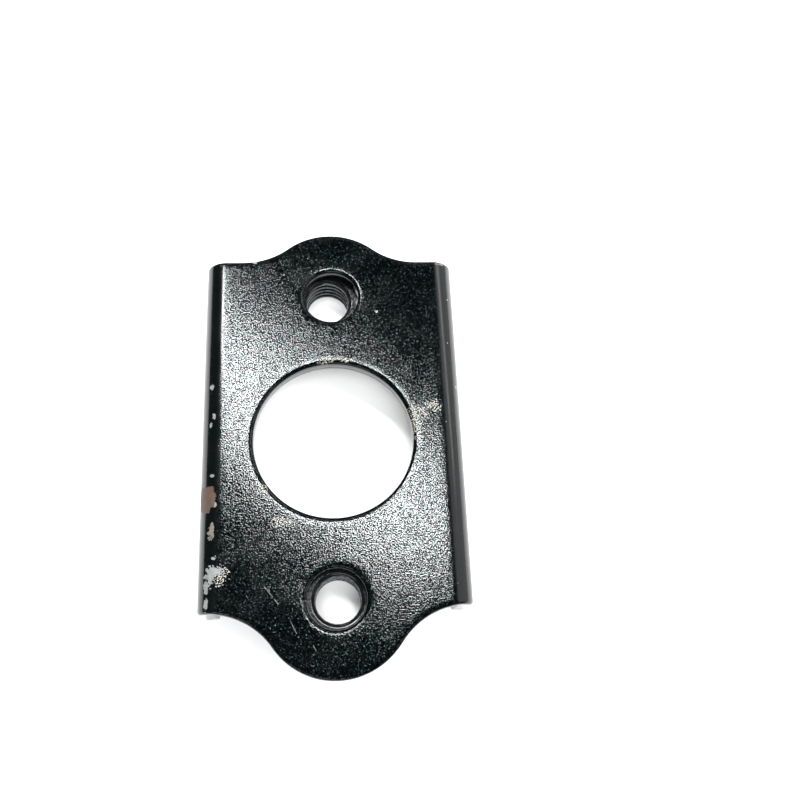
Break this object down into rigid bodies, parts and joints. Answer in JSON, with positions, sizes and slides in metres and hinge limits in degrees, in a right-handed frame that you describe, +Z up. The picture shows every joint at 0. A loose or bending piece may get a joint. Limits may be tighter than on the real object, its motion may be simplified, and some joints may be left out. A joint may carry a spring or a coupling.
{
  "type": "door chain guard",
  "caption": "Black painted steel channel plate with a large round centre hole, rounded end tabs and weld nuts fixed behind its screw holes.",
  "frame": {"origin": "on the ground under the middle of the plate, between the feet of the two side flanges", "axes": "+Z up out of the plate's face, +Y along the plate towards the end with the further shoulders, +X across the plate"},
  "size_m": [0.0412, 0.072, 0.0108],
  "materials": {
    "plate_paint": "black fine-textured paint on pressed steel, glossy on the bends, chipped and rusting on one bend",
    "nut_paint": "thin smooth black paint on steel, worn grey on the thread crests"
  },
  "bodies": {
    "root": {"guard_plate": "plate_paint", "upper_weld_nut": "nut_paint", "lower_weld_nut": "nut_paint"}
  },
  "joints": []
}
